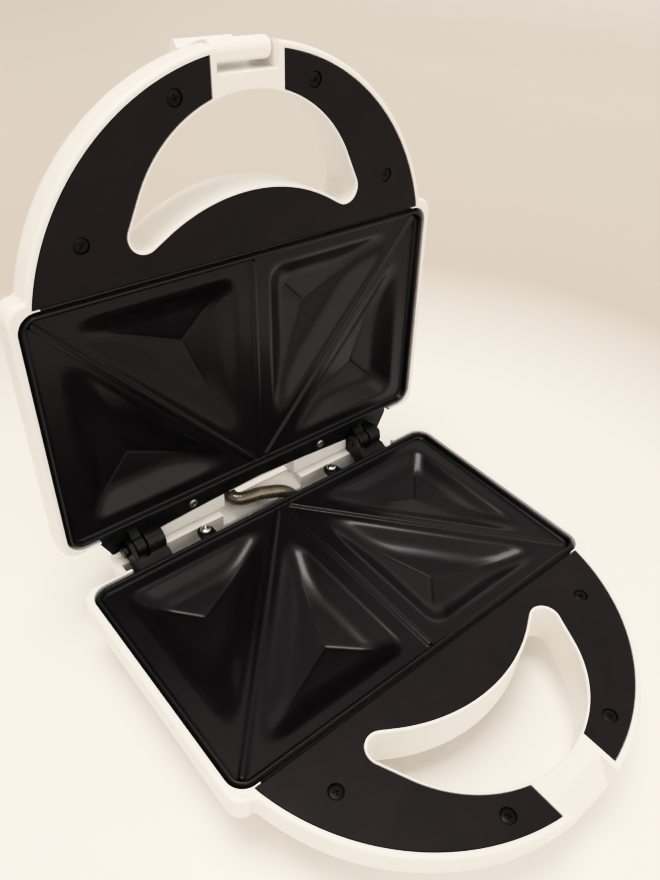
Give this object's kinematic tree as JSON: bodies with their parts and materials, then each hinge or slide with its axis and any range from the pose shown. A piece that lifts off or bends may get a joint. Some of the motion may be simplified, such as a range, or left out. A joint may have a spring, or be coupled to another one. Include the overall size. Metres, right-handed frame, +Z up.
{
  "type": "sandwich toaster",
  "caption": "Hinged electric sandwich toaster, open, with triangular pockets in black non-stick plates, white shells and crescent carrying handles.",
  "frame": {"origin": "under the middle of the open toaster's bounding box, on the surface it stands on", "axes": "+X to the right along the hinge axis, +Y towards the hinge and the open lid, +Z up; the base's handle points towards -Y"},
  "size_m": [0.25, 0.2988, 0.2872],
  "materials": {
    "shell_white": "warm off-white moulded plastic, satin to semi-gloss",
    "nonstick_black": "glossy black non-stick coating on a cast plate",
    "cover_black": "satin black-brown moulded phenolic plastic",
    "screw_black": "blackened steel",
    "zinc": "bright zinc-plated steel",
    "hinge_black": "black-coated pressed steel",
    "steel": "plain steel",
    "element_sheath": "heat-darkened steel sheath",
    "rubber": "soft black rubber",
    "ceramic": "glazed cream ceramic",
    "braid": "braided brown-grey glass-fibre sleeve",
    "lens_red": "clear red lens plastic",
    "lens_green": "clear green lens plastic",
    "lamp_glass": "clear glass"
  },
  "bodies": {
    "base": {"base_shell": "shell_white", "base_plate": "nonstick_black", "base_handle_cover": "cover_black", "base_cover_screw_1": "screw_black", "base_cover_screw_2": "screw_black", "base_cover_screw_3": "screw_black", "base_cover_screw_4": "screw_black", "base_plate_screw_1": "zinc", "base_plate_screw_2": "zinc", "base_heating_element": "element_sheath", "base_reflector": "steel", "hinge_arm_left": "hinge_black", "hinge_arm_right": "hinge_black", "hinge_pin_left": "steel", "hinge_pin_right": "steel", "foot_1": "rubber", "foot_2": "rubber", "foot_3": "rubber", "foot_4": "rubber", "thermostat": "steel", "terminal_block": "ceramic", "cord_inlet": "rubber", "wire_conduit": "braid"},
    "lid": {"lid_shell": "shell_white", "lid_plate": "nonstick_black", "lid_handle_cover": "cover_black", "lid_cover_screw_1": "screw_black", "lid_cover_screw_2": "screw_black", "lid_cover_screw_3": "screw_black", "lid_cover_screw_4": "screw_black", "lid_plate_screw_1": "zinc", "lid_plate_screw_2": "zinc", "lid_heating_element": "element_sheath", "lid_reflector": "steel", "lid_hinge_bar": "hinge_black", "thermal_fuse": "zinc", "power_lamp_lens": "lens_red", "ready_lamp_lens": "lens_green", "power_lamp_neon": "lamp_glass", "ready_lamp_neon": "lamp_glass", "latch_pin": "steel"},
    "latch": {"latch_clip": "shell_white"}
  },
  "joints": [
    {"name": "lid_hinge", "type": "hinge", "parent": "base", "child": "lid", "pos_m": [0, 0.09033, 0.0475], "axis": [1, 0, 0], "range_deg": [0, 94.7], "deforming": ["wire_conduit"]},
    {"name": "latch_pivot", "type": "hinge", "parent": "lid", "child": "latch", "pos_m": [0, 0.11846, 0.28228], "axis": [1, 0, 0], "range_deg": [0, 172]}
  ]
}
